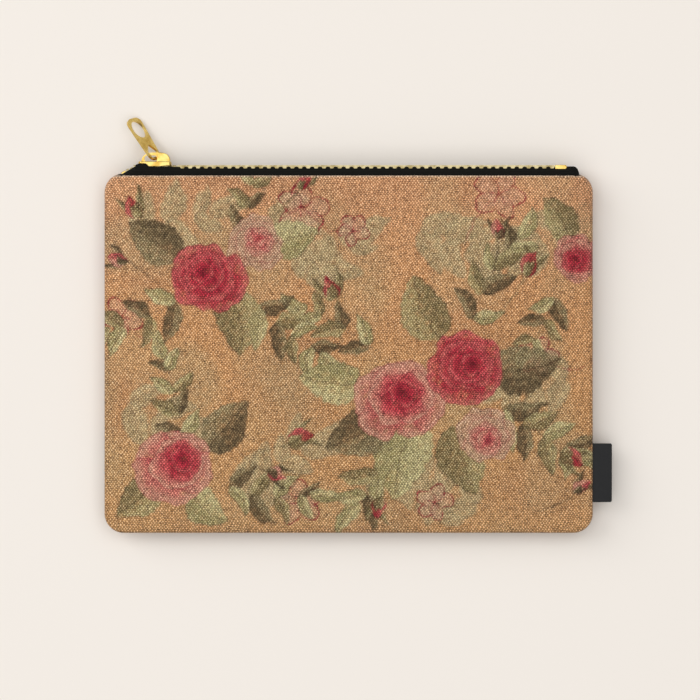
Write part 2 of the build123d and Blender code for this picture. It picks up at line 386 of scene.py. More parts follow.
@dataclass(frozen=True)
class PrintedCloth(Finish):
    """Coarse printed cloth: the painted colours broken up by a plain weave, with painted shade in its gaps and
    painted highlight on its crowns.
    """

    weave: PlainWeave = PlainWeave(0.665, 0.83)
    attribute: str = "print"
    # painted shade: colour that the paint is darkened towards in the gaps between threads
    gap: Colour = (0.10, 0.09, 0.10)
    # painted highlight: brightening of the paint on the crowns of the threads
    highlight_gain: Colour = (1.8, 1.8, 1.85)
    weft: Colour = linear(84, 50, 30)
    # painted highlight: cream mixed into the crowns of the threads
    highlight_cream: Colour = linear(246, 232, 200)

    def paint(self, shader: Shader, x: Wire, y: Wire, z: Wire) -> None:
        """Set up the surface, as Finish.paint says."""
        sideways, lengthways = shader.facing()
        height, cross, chance = self.weave.threads(shader, x + (z - x) * sideways, y + (z - y) * lengthways)
        where = shader.join(x, y, z)
        painted = shader.node("ShaderNodeAttribute", {"attribute_name": self.attribute}, (), "Color")
        fuzz = shader.noise(where, 2.6, 3.0)
        slub = shader.noise(shader.join(x * 0.22, y * 1.3, z), 1.0)
        slub = slub + shader.noise(shader.join(x * 1.5, y * 0.2, z), 1.0)
        patch = shader.noise(where, 0.75)
        lit = height + (fuzz - 0.5) * 0.6 + (chance - 0.5) * 0.4 + (patch - 0.5) * 0.7
        # painted shade: low places of the weave darkened towards the gap colour
        gap_shade = shader.mix(lit.span(0.12, 0.6), self.gap, (1.0, 1.0, 1.0))
        shade = shader.mix(1.0, painted, gap_shade, "MULTIPLY")
        weft = shader.mix((-cross).span(0.0, 0.9) * (0.34 + chance * 0.3), shade, self.weft)
        # painted highlight: the paint brightened and creamed on thread crowns, more where it is light, varied by
        # slubs and patches
        bright = shader.mix(1.0, painted, self.highlight_gain, "MULTIPLY")
        green = shader.node("ShaderNodeSeparateColor", {}, (painted,), "Green")
        thread_highlight = shader.mix(green.span(0.04, 0.34) * 0.52, bright, self.highlight_cream)
        crown_highlight = cross.span(0.05, 0.85) * (0.36 + chance * 0.55 + (slub - 1.0) * 1.3 + (patch - 0.5) * 0.9)
        shader.dress(base_color=shader.mix(crown_highlight, weft, thread_highlight), roughness=0.84 + (fuzz - 0.5) * 0.2)
        shader.dress(specular_ior_level=0.22, sheen_weight=0.1, sheen_roughness=0.45)
        shader.bump(lit, 0.0003, 0.9)


@dataclass(frozen=True)
class DarkCloth(Finish):
    """Fine dark woven cloth for the tapes, lining or label, with painted highlight on its raised threads."""

    colour: Colour
    # pale: painted highlight colour on the raised threads
    pale: Colour
    weave: PlainWeave
    depth: float
    roughness: float
    sheen: float
    steep: bool = False

    def paint(self, shader: Shader, x: Wire, y: Wire, z: Wire) -> None:
        """Set up the surface, as Finish.paint says."""
        height, _, chance = self.weave.threads(shader, x, y + z if self.steep else y)
        cloudy = shader.noise(shader.join(x, y, z), 0.5, 3.0)
        # painted highlight: raised threads mixed towards the pale colour, varied at random
        share = height.span(0.2, 0.9) * (0.4 + chance * 0.3 + cloudy * 0.3)
        rough = self.roughness + (chance - 0.5) * 0.12
        shader.dress(base_color=shader.mix(share, self.colour, self.pale), roughness=rough)
        shader.dress(specular_ior_level=0.14, sheen_weight=self.sheen)
        shader.bump(height, self.depth, 0.8)


@dataclass(frozen=True)
class BrightMetal(Finish):
    """Bright yellow metal with fine scratches and a little dullness."""

    colour: Colour = linear(236, 208, 126)
    deep: Colour = linear(204, 164, 74)
    roughness: float = 0.2

    def paint(self, shader: Shader, x: Wire, y: Wire, z: Wire) -> None:
        """Set up the surface, as Finish.paint says."""
        cloudy = shader.noise(shader.join(x, y, z), 0.3)
        fine = shader.noise(shader.join(x * 0.4, y * 3.0, z * 3.0), 2.0, 4.0)
        rough = self.roughness + (cloudy - 0.5) * 0.12 + fine.span(0.5, 0.8) * 0.06
        shader.dress(base_color=shader.mix(cloudy.span(0.35, 0.75), self.colour, self.deep), roughness=rough)
        shader.dress(metallic=1.0)
        shader.bump(fine, 0.00001, 0.3)


@dataclass(frozen=True)
class Tones:
    """The tones that one kind of motif is painted in."""

    body: Colour
    shade: Colour
    line: Colour
    light: Colour


SAGE = Tones(linear(208, 182, 130), linear(190, 164, 116), linear(168, 138, 98), linear(222, 198, 146))
OLIVE = Tones(linear(172, 154, 98), linear(130, 112, 70), linear(66, 50, 32), linear(204, 188, 128))
DARK = Tones(linear(130, 112, 75), linear(90, 75, 51), linear(48, 36, 25), linear(166, 150, 104))
FRESH = Tones(linear(208, 196, 132), linear(168, 156, 98), linear(90, 66, 38), linear(226, 214, 156))
RED = Tones(linear(196, 52, 68), linear(158, 26, 48), linear(112, 14, 34), linear(224, 112, 108))
PINK = Tones(linear(220, 124, 110), linear(196, 62, 78), linear(156, 30, 54), linear(234, 170, 142))
BLUSH = Tones(linear(214, 158, 124), linear(206, 128, 108), linear(170, 62, 70), linear(226, 184, 148))


class Canvas:
    """Points on the cloth and the paint laid on them so far."""

    rose_strength = 0.92

    def __init__(self, x: np.ndarray, y: np.ndarray, ground: np.ndarray, seed: int) -> None:
        """Start with the ground's colours and a hand-drawn waver in every line.

        Args:
            x: Places across in millimetres.
            y: Places along in millimetres.
            ground: One colour for each point.
            seed: Seed of the random source.
        """
        self.random = np.random.default_rng(seed)
        self.x = x + 0.45 * self.cloud(x, y, 7.0, 6)
        self.y = y + 0.45 * self.cloud(x, y, 7.0, 6)
        self.paint = ground
        self.dry = np.clip(0.86 + 0.16 * self.cloud(x, y, 3.6, 8), 0.45, 1.0)

    def cloud(self, x: np.ndarray, y: np.ndarray, size: float, turns: int) -> np.ndarray:
        """Smooth random patches, near -1 to 1.

        Args:
            x: Places across in millimetres.
            y: Places along in millimetres.
            size: Rough patch size in millimetres.
            turns: How many waves make them.

        Returns:
            One value for each place.
        """
        return crossed_waves(self.random, x, y, (size * 0.6, size * 1.6), turns) / math.sqrt(turns)

    def near(self, x: float, y: float, reach: float) -> np.ndarray:
        """Numbers of the points within a square reach of a place."""
        return np.flatnonzero((np.abs(self.x - x) < reach) & (np.abs(self.y - y) < reach))

    def turned(self, points: np.ndarray, x: float, y: float, turn: float) -> tuple[np.ndarray, np.ndarray]:
        """How far some points lie from a place, along a direction and across it."""
        dx, dy = self.x[points] - x, self.y[points] - y
        return dx * math.cos(turn) + dy * math.sin(turn), dy * math.cos(turn) - dx * math.sin(turn)

    def lay(self, points: np.ndarray, mask: np.ndarray, colour: Colour) -> None:
        """Lay a colour over some points.

        Args:
            points: Numbers of the points.
            mask: Share of the new colour at each one.
            colour: The new colour.
        """
        share = (unit(mask) * self.dry[points])[:, None]
        self.paint[points] = self.paint[points] * (1 - share) + np.array(colour) * share

    def leaf(self, spot: Sequence[float], tones: Tones, strength: float = 0.9, soft: float = 0.6) -> None:
        """Paint one pointed leaf with a shaded half, veins and an outline.

        Args:
            spot: Stem end x and y, length, width and angle in degrees.
            tones: Its tones.
            strength: Share of the paint at its fullest.
            soft: Width of its soft rim.
        """
        base_x, base_y, length, width, angle = spot
        turn = math.radians(angle)
        points = self.near(*polar(base_x, base_y, 0.5 * length, turn), length * 0.7 + 2)
        along, across = self.turned(points, base_x, base_y, turn)
        t = along / length
        bow = self.random.uniform(-0.14, 0.14) * length
        across = across - bow * np.sin(unit(t) * math.pi)
        off = np.abs(across)
        half = 0.5 * width * np.sin(unit(t) ** 0.72 * math.pi) ** 0.8
        half = half * (1 + 0.09 * np.abs(((t * 9.0) % 1.0) - 0.5) * 2)
        inside = unit((half - off) / soft + 0.5) * (t > 0) * (t < 1)
        vein = np.abs(np.sin((t * 5.0 - off / length * 6.0) * math.pi))
        rim = unit(1 - np.abs(half - off) / 0.6) * (t > -0.01) * (t < 1.01)
        coats = (
            (inside, tones.body),
            (inside * unit(across / (0.3 * width)) * (0.4 + 0.4 * t), tones.light),
            (inside * unit(0.25 - across / (0.22 * width)) * 0.85, tones.shade),
            (inside * unit(1 - vein * 3.6) * 0.42, tones.line),
            (inside * unit(1 - off / 0.55) * 0.85, tones.line),
            (rim * np.where(across < 0, 0.7, 0.25), tones.line),
        )
        for mask, colour in coats:
            self.lay(points, mask * strength, colour)

    def stem(self, bend: Sequence[Place], width: float, colour: Colour, strength: float = 0.8) -> None:
        """Paint a bent stem.

        Args:
            bend: Start, middle pull and end of the stem.
            width: Its width in millimetres.
            colour: Its colour.
            strength: Share of the paint at its fullest.
        """
        (ax, ay), _, (cx, cy) = bend
        points = self.near((ax + cx) / 2, (ay + cy) / 2, max(abs(ax - cx), abs(ay - cy)) * 0.5 + 8)
        nearest = np.full(len(points), 1e9)
        for t in np.linspace(0, 1, 25):
            px, py = bent(bend, t)
            nearest = np.minimum(nearest, np.hypot(self.x[points] - px, self.y[points] - py))
        self.lay(points, unit((width / 2 - nearest) / 0.6 + 0.5) * strength, colour)

    def petal(self, spot: Sequence[float], tones: Tones) -> None:
        """Paint one cupped petal: pale at its lip, deep where it folds under the next.

        Args:
            spot: Middle x and y, size, stretch and outward angle in degrees.
            tones: Its tones.
        """
        middle_x, middle_y, size, stretch, angle = spot
        points = self.near(middle_x, middle_y, size * 1.9)
        outward, sideways = self.turned(points, middle_x, middle_y, math.radians(angle))
        outward, sideways = outward / 0.86, sideways / stretch
        ripple = self.random.uniform(0, 6)
        notch = 1 + 0.07 * np.sin(4 * np.arctan2(sideways, outward) + ripple)
        far = np.hypot(outward, sideways) / (size * notch)
        out = outward / size
        inside = unit((1 - far) * size / 0.7 + 0.5)
        coats = (
            (inside, tones.body),
            (inside * unit((far - 0.45) / 0.4) * unit(out + 0.35) * 0.75, tones.light),
            (inside * unit(0.35 - out) * 0.85, tones.shade),
            (unit(1 - np.abs(far - 1.0) * size / 0.55) * unit(out + 0.8) * 0.5, tones.line),
        )
        for mask, colour in coats:
            self.lay(points, mask * self.rose_strength, colour)

    def rose(self, spot: Sequence[float], outer: Tones, inner: Tones) -> None:
        """Paint an open rose, its heart set off to one side.

        Args:
            spot: Middle x and y, radius and turn in degrees.
            outer: Tones of the open petals.
            inner: Tones of the cup.
        """
        middle_x, middle_y, radius, turn = spot
        heart_x, heart_y = polar(middle_x, middle_y, 0.22 * radius, math.radians(turn))
        rings = ((0.62, 0.50, 6, outer), (0.40, 0.42, 5, outer), (0.27, 0.33, 4, inner), (0.13, 0.24, 3, inner))
        for ring, (out, size, count, tones) in enumerate(rings):
            cx = middle_x + (heart_x - middle_x) * ring / 3
            cy = middle_y + (heart_y - middle_y) * ring / 3
            for index in range(count):
                angle = turn + 360 * index / count + 37 * ring + self.random.uniform(-16, 16)
                step = radius * out * self.random.uniform(0.85, 1.15)
                px, py = polar(0.0, 0.0, step, math.radians(angle))
                petal = radius * size * self.random.uniform(0.82, 1.18)
                stretch = self.random.uniform(0.95, 1.3)
                self.petal((cx + px, cy + py * 0.9, petal, stretch, angle), tones)
        points = self.near(heart_x, heart_y, radius * 0.3)
        far = np.hypot(self.x[points] - heart_x, (self.y[points] - heart_y) * 1.3)
        self.lay(points, unit(1.2 - far / (0.17 * radius)) * self.rose_strength, inner.line)

    def sketch(self, spot: Sequence[float], tones: Tones, petals: int = 5) -> None:
        """Draw a blossom in thin lines with a faint wash inside.

        Args:
            spot: Middle x and y, radius and turn in degrees.
            tones: Its tones.
            petals: Count of its petals.
        """
        middle_x, middle_y, radius, turn = spot
        for index in range(petals):
            angle = math.radians(turn + 360 * index / petals + self.random.uniform(-12, 12))
            size = radius * self.random.uniform(0.42, 0.56)
            cx, cy = polar(middle_x, middle_y, radius * 0.55, angle)
            points = self.near(cx, cy, size * 1.6)
            outward, sideways = self.turned(points, cx, cy, angle)
            far = np.hypot(outward, sideways / 0.74) / size
            self.lay(points, unit((1 - far) * 3) * 0.45, tones.light)
            line = unit(1.4 - np.abs(far - 1) * size / 0.5) * np.clip(0.8 + outward / size, 0.2, 1)
            self.lay(points, line, tones.line)
        for index in range(5):
            tip = polar(middle_x, middle_y, radius * 0.4, math.radians(turn + 72 * index + 20))
            self.stem(((middle_x, middle_y), (middle_x, middle_y), tip), 0.5, tones.line, 1.0)

    def bud(self, spot: Sequence[float], tones: Tones, greens: Tones) -> None:
        """Paint a closed bud in its cup, with long narrow sepals.

        Args:
            spot: Cup x and y, length and angle in degrees.
            tones: The petals' tones.
            greens: The cup's tones.
        """
        x, y, length, angle = spot
        turn = math.radians(angle)
        back, middle = polar(x, y, -length * 1.7, turn - 0.25), polar(x, y, -0.7 * length, turn)
        self.stem((back, middle, (x, y)), 0.9, greens.shade)
        leaves = (
            (1.25, 0.26, -24, greens),
            (1.25, 0.26, 26, greens),
            (1.0, 0.62, 0, tones),
            (0.62, 0.3, -14, greens),
            (0.52, 0.34, 16, greens),
        )
        for long, wide, lean, kind in leaves:
            self.leaf((x, y, length * long, length * wide, angle + lean), kind)

    def spray(
        self, spot: Sequence[float], kinds: Sequence[Tones], strength: float, soft: float = 0.6, broad: float = 0.42
    ) -> None:
        """Paint a stem with leaflets in pairs.

        Args:
            spot: Root x and y, length, angle in degrees, leaflet length and pairs.
            kinds: Tones that the leaflets take in turn.
            strength: Share of the paint at its fullest.
            soft: Width of the leaflets' soft rim.
            broad: Width of a leaflet as a share of its length.
        """
        root_x, root_y, length, angle, leaflet, pairs = spot
        turn = math.radians(angle)
        pull = self.random.uniform(-0.22, 0.22) * length
        tip = polar(root_x, root_y, length, turn)
        middle = ((root_x + tip[0]) / 2 - pull * math.sin(turn), (root_y + tip[1]) / 2 + pull * math.cos(turn))
        bend = ((root_x, root_y), middle, tip)
        self.stem(bend, 0.8, kinds[0].line, strength * 0.8)
        count = 0
        for index in range(pairs):
            t = (index + 1) / (pairs + 0.5)
            for lean in (48, -48):
                count += 1
                size = leaflet * (1.1 - 0.35 * t) * self.random.uniform(0.8, 1.15)
                tilt = angle + lean + self.random.uniform(-14, 14)
                self.leaf((*bent(bend, t), size, size * broad, tilt), kinds[count % len(kinds)], strength, soft)
        self.leaf((*tip, leaflet * 0.9, leaflet * broad * 0.9, angle), kinds[-1], strength, soft)


GROUND = (
    (-80.0, linear(222, 166, 106)),
    (-30.0, linear(228, 166, 104)),
    (25.0, linear(234, 168, 108)),
    (80.0, linear(238, 170, 118)),
)
GHOST_SPRAYS = (
    (-104, 46, 46, 20, 20, 3), (-40, 74, 40, -52, 18, 3), (22, 60, 50, -14, 19, 4), (104, 66, 44, 214, 18, 3),
    (-26, 22, 42, 40, 18, 3), (-108, -18, 44, -24, 19, 3), (-52, -74, 50, 42, 19, 4), (4, -44, 40, -34, 18, 3),
    (106, -6, 40, 196, 17, 3), (70, -70, 46, 150, 18, 3),
)
SKETCHES = (
    (-20, 64, 11, 15), (2, 54, 7, 50), (66, 70, 11, 0), (-100, 16, 9, 40), (84, -2, 9, 70), (-22, -66, 10, 25),
    (38, -66, 8, 5),
)
TWIGS = (
    ((-20, 64), (-8, 50), (2, 54)),
    ((-34, 50), (-30, 62), (-20, 64)),
    ((66, 70), (54, 60), (52, 50)),
    ((-100, 16), (-92, 4), (-84, 6)),
    ((84, -2), (96, -10), (104, -6)),
)
SPRAYS = (
    (34, -26, 50, 234, 19, 4), (60, -18, 48, -32, 19, 4), (52, 4, 52, 64, 17, 4), (18, -6, 44, 146, 16, 3),
    (-66, 30, 44, 206, 17, 3), (-50, 44, 36, 78, 14, 3), (-46, 26, 42, -38, 17, 4), (-72, -46, 44, 102, 15, 4),
    (-62, -54, 46, -10, 16, 4), (92, 34, 34, 248, 14, 3),
)
LEAVES = (
    ((30, -30, 36, 24, 254), FRESH), ((18, -26, 32, 21, 208), DARK), ((46, -32, 32, 21, 288), OLIVE),
    ((62, -8, 32, 21, 10), DARK), ((40, 6, 31, 20, 112), OLIVE), ((6, -14, 28, 18, 172), FRESH),
    ((-74, 42, 28, 18, 146), DARK), ((-54, 28, 30, 20, 282), OLIVE), ((-36, 46, 24, 16, 20), FRESH),
    ((-84, -56, 24, 16, 220), OLIVE), ((-62, -42, 27, 18, 50), DARK), ((-70, -60, 22, 15, 318), FRESH),
    ((98, 50, 22, 14, 122), OLIVE),
)
ROSES = (
    ((60, -36, 12.5, 300), BLUSH, PINK), ((22, -21, 19.0, 60), PINK, RED), ((51, -6, 16.5, 20), RED, RED),
    ((-40, 48, 12.0, 80), BLUSH, PINK), ((-62, 33, 16.0, 130), RED, RED), ((-76, -49, 16.5, 40), PINK, RED),
    ((102, 42, 11.5, 200), PINK, RED),
)
RED_BUDS = (
    (78, 34, 12, 68), (94, -44, 11, -30), (-92, 60, 11, 118), (-26, -40, 12, 22), (-6, 24, 11, 112),
    (14, -64, 10, 262), (-22, 72, 9, 60),
)
PINK_BUDS = ((66, 50, 9, 92), (-36, -52, 9, -22), (-98, 40, 9, 160), (100, -62, 9, 40))


@dataclass(frozen=True)
class Print:
    """The painted pattern: roses, buds and leaf sprays over a warm ground."""

    seed: int = 23

    def colours(self, x: np.ndarray, y: np.ndarray) -> np.ndarray:
        """Work out the painted colour of each point.

        Args:
            x: Places across in millimetres.
            y: Places along in millimetres.

        Returns:
            One linear colour for each point.
        """
        places = [place for place, _ in GROUND]
        ground = np.stack([np.interp(y, places, [colour[i] for _, colour in GROUND]) for i in range(3)], axis=1)
        canvas = Canvas(x, y, ground, self.seed)
        every = np.arange(len(x))
        canvas.lay(every, 0.35 * unit(canvas.cloud(x, y, 60, 7)), linear(188, 128, 86))
        canvas.lay(every, 0.35 * unit(canvas.cloud(x, y, 34, 7)), linear(214, 178, 124))
        canvas.lay(every, 0.40 * unit(canvas.cloud(x, y, 44, 6) - 0.2), linear(190, 172, 124))
        for spot in GHOST_SPRAYS:
            canvas.spray(spot, (SAGE, SAGE), 0.78, 1.6, 0.5)
        for spot in SKETCHES:
            canvas.sketch(spot, PINK)
        for bend in TWIGS:
            canvas.stem(bend, 0.7, PINK.line, 0.75)
        for spot in SPRAYS:
            canvas.spray(spot, (OLIVE, DARK, FRESH), 0.92)
        for spot, tones in LEAVES:
            canvas.leaf(spot, tones)
        for spot, outer, inner in ROSES:
            canvas.rose(spot, outer, inner)
        for buds, tones, greens in ((RED_BUDS, RED, OLIVE), (PINK_BUDS, PINK, DARK)):
            for spot in buds:
                canvas.bud(spot, tones, greens)
        canvas.lay(every, unit(canvas.cloud(x, y, 5, 9) * 0.5) * 0.13, linear(206, 160, 108))
        return canvas.paint


def grid_faces(index: np.ndarray) -> list[Face]:
    """Faces between the points of a grid, by point number."""
    corners = (index[:-1, :-1], index[:-1, 1:], index[1:, 1:], index[1:, :-1])
    return [tuple(face) for face in np.stack([corner.ravel() for corner in corners], axis=1).tolist()]


def grid_ring(index: np.ndarray) -> list[int]:
    """Point numbers round the border of a grid."""
    return np.concatenate([index[0, :], index[1:, -1], index[-1, -2::-1], index[-2:0:-1, 0]]).tolist()


def flipped(faces: Sequence[Face]) -> list[Face]:
    """The same faces, turned to face the other way."""
    return [tuple(reversed(face)) for face in faces]


def walls(ring: Sequence[int], step: int) -> list[Face]:
    """Faces between a closed line of points and its copy, whose numbers are a step further on."""
    return [(one, two, two + step, one + step) for one, two in zip(ring, [*ring[1:], ring[0]])]


@dataclass
class ClothBody:
    """The form of the pouch's cloth, in millimetres over its seam plane."""

    width: float = 216.0
    height: float = 159.0
    bottom_corner: float = 8.6
    top_corner: float = 8.4
    mouth_drop: float = 1.25
    front_rise: float = 10.5
    back_rise: float = 10.0
    mouth_rise: float = 8.2
    seam_rim: float = 1.3
    cloth: float = 0.62
    mid_shoulder: float = 88.0
    mouth_shoulder: float = 14.0
    bottom_shoulder: float = 62.0
    mouth_blend: float = 70.0
    swell_power: float = 2.5
    slack: float = 1.15
    edge_roll: float = 1.1
    edge_share: float = 0.04
    lip_roll: float = 0.8
    lip_share: float = 0.1
    drop_start: float = 3.6
    drop_ease: float = 6.0
    drop_reach: float = 12.0
    waves: int = 8
    wave_pitches: Place = (26.0, 70.0)
    wave_depth: float = 0.5
    wave_ease: float = 20.0
    crimp_depth: float = 0.16
    crimp_middle: float = 3.0
    crimp_width: float = 2.6
    cell: float = 0.66
    back_cell: float = 1.0
    inner_step: int = 4
    fine: tuple[float, ...] = (0.0, 0.12, 0.4, 0.8, 1.3, 1.9, 2.6)

    def _swell(self, depth: np.ndarray, shoulder: Any) -> np.ndarray:
        """Share of the full rise at a depth inside an edge."""
        return 1 - (1 - unit(depth / shoulder)) ** self.swell_power

    @staticmethod
    def _smooth(share: np.ndarray) -> np.ndarray:
        """Ease a share from 0 to 1."""
        share = unit(share)
        return share * share * (3 - 2 * share)

    def rise(self, x: np.ndarray, y: np.ndarray, full: float) -> np.ndarray:
        """Height of the outer face over the seam plane.

        Args:
            x: Places across.
            y: Places along.
            full: Rise in the middle of this half.

        Returns:
            Heights in millimetres.
        """
        eased = self._smooth((self.height / 2 - y) / self.mouth_blend)
        middle = self.mouth_rise + (full - self.mouth_rise) * eased
        shoulder = self.mouth_shoulder + (self.mid_shoulder - self.mouth_shoulder) * eased
        share = self._swell(self.width / 2 - np.abs(x), shoulder)
        share = share * self._swell(y + self.height / 2, self.bottom_shoulder)
        return self.seam_rim + (middle - self.seam_rim) * share

    def _stations(self, half: float, cell: float) -> np.ndarray:
        """Places from edge to edge, closer together near the edges.

        Args:
            half: Half of the distance from edge to edge.
            cell: Distance from place to place over the middle.

        Returns:
            The places, a whole number of the inner face's steps from edge to edge.
        """
        edge = np.array(self.fine) - half
        count = self.inner_step * int(round((half - self.fine[-1]) / cell * 2 / self.inner_step))
        inner = np.linspace(-half + self.fine[-1], half - self.fine[-1], count + 1)[1:-1]
        return np.concatenate([edge, inner, -edge[::-1]])

    def _rounded(self, x: np.ndarray, y: np.ndarray) -> tuple[np.ndarray, np.ndarray]:
        """Bend the grid's square corners onto the pouch's rounded ones.

        Args:
            x: Grid places across.
            y: Grid places along.

        Returns:
            The bent places.
        """
        radius = np.where(y < 0, self.bottom_corner, self.top_corner)
        a = (np.abs(x) - (self.width / 2 - radius)) / radius
        b = (np.abs(y) - (self.height / 2 - radius)) / radius
        corner = (a > 0) & (b > 0)
        a, b = unit(a), unit(b)
        new_x = np.sign(x) * (self.width / 2 - radius + a * np.sqrt(1 - b * b / 2) * radius)
        new_y = np.sign(y) * (self.height / 2 - radius + b * np.sqrt(1 - a * a / 2) * radius)
        return np.where(corner, new_x, x), np.where(corner, new_y, y)

    def edge_depth(self, x: np.ndarray, y: np.ndarray) -> np.ndarray:
        """Depth inside the sides and bottom of the rounded outline.

        Args:
            x: Places across.
            y: Places along.

        Returns:
            Depths in millimetres.
        """
        depth = np.minimum(self.width / 2 - np.abs(x), y + self.height / 2)
        for radius, sign in ((self.bottom_corner, -1), (self.top_corner, 1)):
            past_x = np.abs(x) - (self.width / 2 - radius)
            past_y = sign * y - (self.height / 2 - radius)
            depth = np.where((past_x > 0) & (past_y > 0), radius - np.hypot(past_x, past_y), depth)
        return depth

    def pucker(self, x: np.ndarray, y: np.ndarray, seed: int) -> np.ndarray:
        """Small uneven hollows of sewn cloth, strongest beside the seams.

        Args:
            x: Places across.
            y: Places along.
            seed: Seed of the random source.

        Returns:
            Height changes in millimetres.
        """
        depth = np.maximum(self.edge_depth(x, y), 0)
        waves = crossed_waves(np.random.default_rng(seed), x, y, self.wave_pitches, self.waves)
        broad = self.wave_depth * waves / self.waves * unit(depth / self.wave_ease)
        around = np.where(np.abs(x) / self.width > np.abs(y) / self.height, y, x)
        crimp = np.sin(around / 3.9 + 1.3 * np.sin(around / 17.0 + seed)) * np.sin(around / 9.7 + seed)
        near_seam = np.exp(-(((depth - self.crimp_middle) / self.crimp_width) ** 2))
        return broad + self.crimp_depth * crimp * near_seam

    def panel(self, side: Side, full: float, seed: int) -> Shape:
        """Build one panel as a thin closed shell, with a coarser grid for its inner face.

        Args:
            side: Front or back.
            full: Rise in the middle.
            seed: Seed of its puckers.

        Returns:
            Points in millimetres and faces.
        """
        cell = self.cell if side is Side.FRONT else self.back_cell
        stations = (self._stations(self.width / 2, cell), self._stations(self.height / 2, cell))
        x, y = self._rounded(*np.meshgrid(*stations))
        height = self.rise(x, y, full) + self.pucker(x, y, seed)
        rolled = quarter_round(np.maximum(self.edge_depth(x, y), 0) / self.edge_roll)
        outer = height * (self.edge_share + (1 - self.edge_share) * rolled)
        inner = np.maximum(outer - self.cloth * self.slack, 0.0)
        top = self.height / 2 - y
        if side is Side.FRONT:
            inward = self._smooth((self.width / 2 - np.abs(x) - self.drop_start) / self.drop_ease)
            y = y - self.mouth_drop * inward * unit(1 - top / self.drop_reach)
        lip = np.maximum(quarter_round(top / self.lip_roll), self.lip_share)
        middle = (outer + inner) / 2
        outer, inner = middle + (outer - middle) * lip, middle + (inner - middle) * lip
        if side is Side.BACK:
            outer, inner = np.minimum(outer, SEAM), np.minimum(inner, SEAM - self.cloth)
        step = self.inner_step
        part = np.s_[::step, ::step]
        points = [
            np.stack([px.ravel(), py.ravel(), SEAM + side.value * rise.ravel()], axis=1)
            for px, py, rise in ((x, y, outer), (x[part], y[part], inner[part]))
        ]
        index = np.arange(x.size).reshape(x.shape)
        under = np.arange(len(points[1])).reshape(x[part].shape) + x.size
        faces = grid_faces(index) + flipped(grid_faces(under))
        ring, inner_ring = grid_ring(index), grid_ring(under)
        for place, one in enumerate(inner_ring):
            two = inner_ring[(place + 1) % len(inner_ring)]
            run = [ring[(step * place + back) % len(ring)] for back in range(step, 0, -1)]
            faces.append((ring[step * place], one, two, *run))
        return np.concatenate(points), flipped(faces) if side is Side.BACK else faces


def add_object(name: str, data: Any) -> Any:
    """Put a mesh, lamp or camera into the scene as a new object."""
    made = bpy.data.objects.new(name, data)
    bpy.context.scene.collection.objects.link(made)
    return made


def smooth_object(name: str, points: np.ndarray, faces: Sequence[Face]) -> Any:
    """Make a smooth-shaded mesh object.

    Args:
        name: The object's name.
        points: Points in millimetres.
        faces: Faces as point numbers.

    Returns:
        The new object.
    """
    mesh = bpy.data.meshes.new(name)
    mesh.from_pydata((points * MM).tolist(), [], faces)
    mesh.update()
    mesh.polygons.foreach_set("use_smooth", [True] * len(mesh.polygons))
    return add_object(name, mesh)


def solid_object(name: str, shapes: Sequence[Shape] = (), node: str = "") -> Any:
    """Make an object of closed shapes, added to a copy of a CAD piece's mesh if one is named.

    Args:
        name: The new object's name.
        shapes: Points in millimetres and faces of each shape that is added.
        node: The CAD piece.

    Returns:
        The new object.
    """
    made = bmesh.new()
    if node:
        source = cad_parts[node]
        made.from_mesh(source.data)
        made.transform(source.matrix_world)
        bmesh.ops.remove_doubles(made, verts=made.verts, dist=1e-6)
    for points, faces in shapes:
        verts = [made.verts.new(tuple(point * MM)) for point in points]
        for face in faces:
            made.faces.new([verts[i] for i in face])
    bmesh.ops.recalc_face_normals(made, faces=made.faces)
    mesh = bpy.data.meshes.new(name)
    made.to_mesh(mesh)
    made.free()
    return add_object(name, mesh)


def soften(piece: Any, width: float, segments: int = 2) -> None:
    """Round a piece's sharp edges.

    Args:
        piece: The object.
        width: Width of the rounding in millimetres.
        segments: Facets across the rounding.
    """
    piece.data.polygons.foreach_set("use_smooth", [True] * len(piece.data.polygons))
    bevel = piece.modifiers.new("rounding", "BEVEL")
    bevel.width = width * MM
    bevel.segments = segments
    bevel.limit_method = "ANGLE"
    bevel.angle_limit = SHARP_EDGE
    bevel.harden_normals = True


def wear(piece: Any, material: Any) -> None:
    """Give a piece one material in all its slots."""
    if not piece.material_slots:
        piece.data.materials.append(material)
    for slot in piece.material_slots:
        slot.material = material


def stand_in(piece: Any, node: str, material: Any, body: str = "pouch") -> Any:
    """Set a piece in a CAD piece's place.

    Args:
        piece: The new object.
        node: The CAD piece that it replaces.
        material: Its finish.
        body: The body that it moves with.

    Returns:
        The same object.
    """
    wear(piece, material)
    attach(piece, body)
    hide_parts(node)
    return piece


